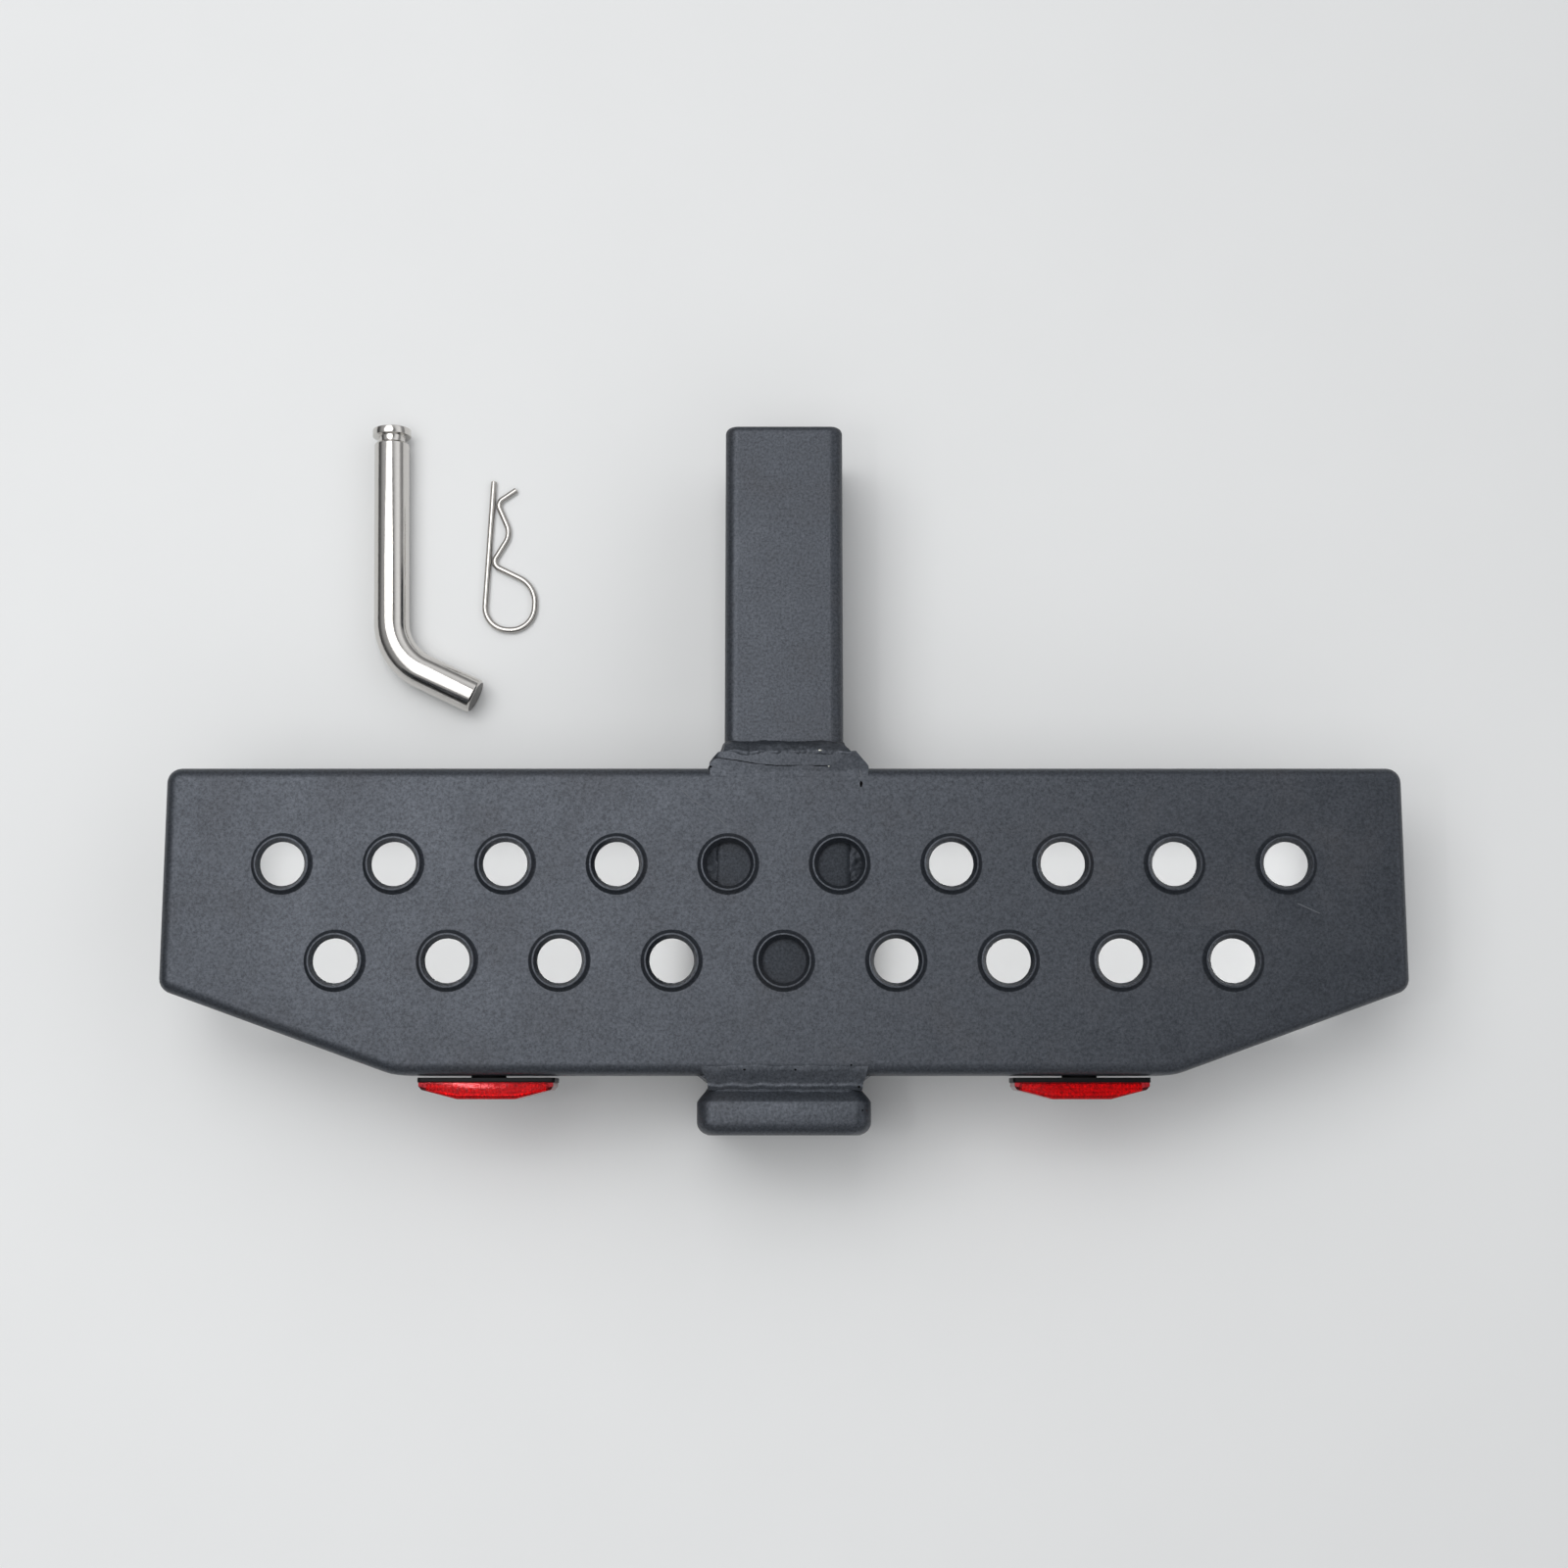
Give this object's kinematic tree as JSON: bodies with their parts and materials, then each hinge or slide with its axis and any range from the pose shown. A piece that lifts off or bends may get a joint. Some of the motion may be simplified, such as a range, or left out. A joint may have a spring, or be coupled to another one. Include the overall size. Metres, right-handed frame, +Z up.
{
  "type": "hitch receiver step",
  "caption": "Towing hitch step: square shank and receiver tube carrying a folded black tread deck with flared holes and red rear reflectors, with its bent pin and clip beside it.",
  "frame": {"origin": "centre of the shank's pin hole, on the axis of the tubes", "axes": "+X along the pin hole and the long side of the deck, to the right when looking at the vehicle; +Y along the tubes towards the vehicle; +Z up"},
  "size_m": [0.5206, 0.3211, 0.0731],
  "materials": {
    "black_powder_coat": "satin black powder coat, finely textured",
    "red_lens": "clear red moulded acrylic",
    "black_plastic": "moulded black plastic",
    "black_rubber": "moulded black rubber",
    "zinc_plated_steel": "bright zinc plate",
    "bright_chrome": "polished bright plate"
  },
  "bodies": {
    "root": {"shank_tube": "black_powder_coat", "receiver_tube": "black_powder_coat", "mouth_collar": "black_powder_coat", "step_deck": "black_powder_coat", "shank_weld": "black_powder_coat", "deck_front_weld": "black_powder_coat", "deck_rear_weld": "black_powder_coat", "collar_weld": "black_powder_coat", "under_deck_weld": "black_powder_coat", "reflector_lens_left": "red_lens", "reflector_backing_left": "black_plastic", "reflector_spacer_left": "black_rubber", "reflector_stud_left": "zinc_plated_steel", "reflector_washer_left": "zinc_plated_steel", "reflector_nut_left": "zinc_plated_steel", "reflector_lens_right": "red_lens", "reflector_backing_right": "black_plastic", "reflector_spacer_right": "black_rubber", "reflector_stud_right": "zinc_plated_steel", "reflector_washer_right": "zinc_plated_steel", "reflector_nut_right": "zinc_plated_steel", "hitch_pin": "bright_chrome", "pin_clip": "bright_chrome"}
  },
  "joints": []
}
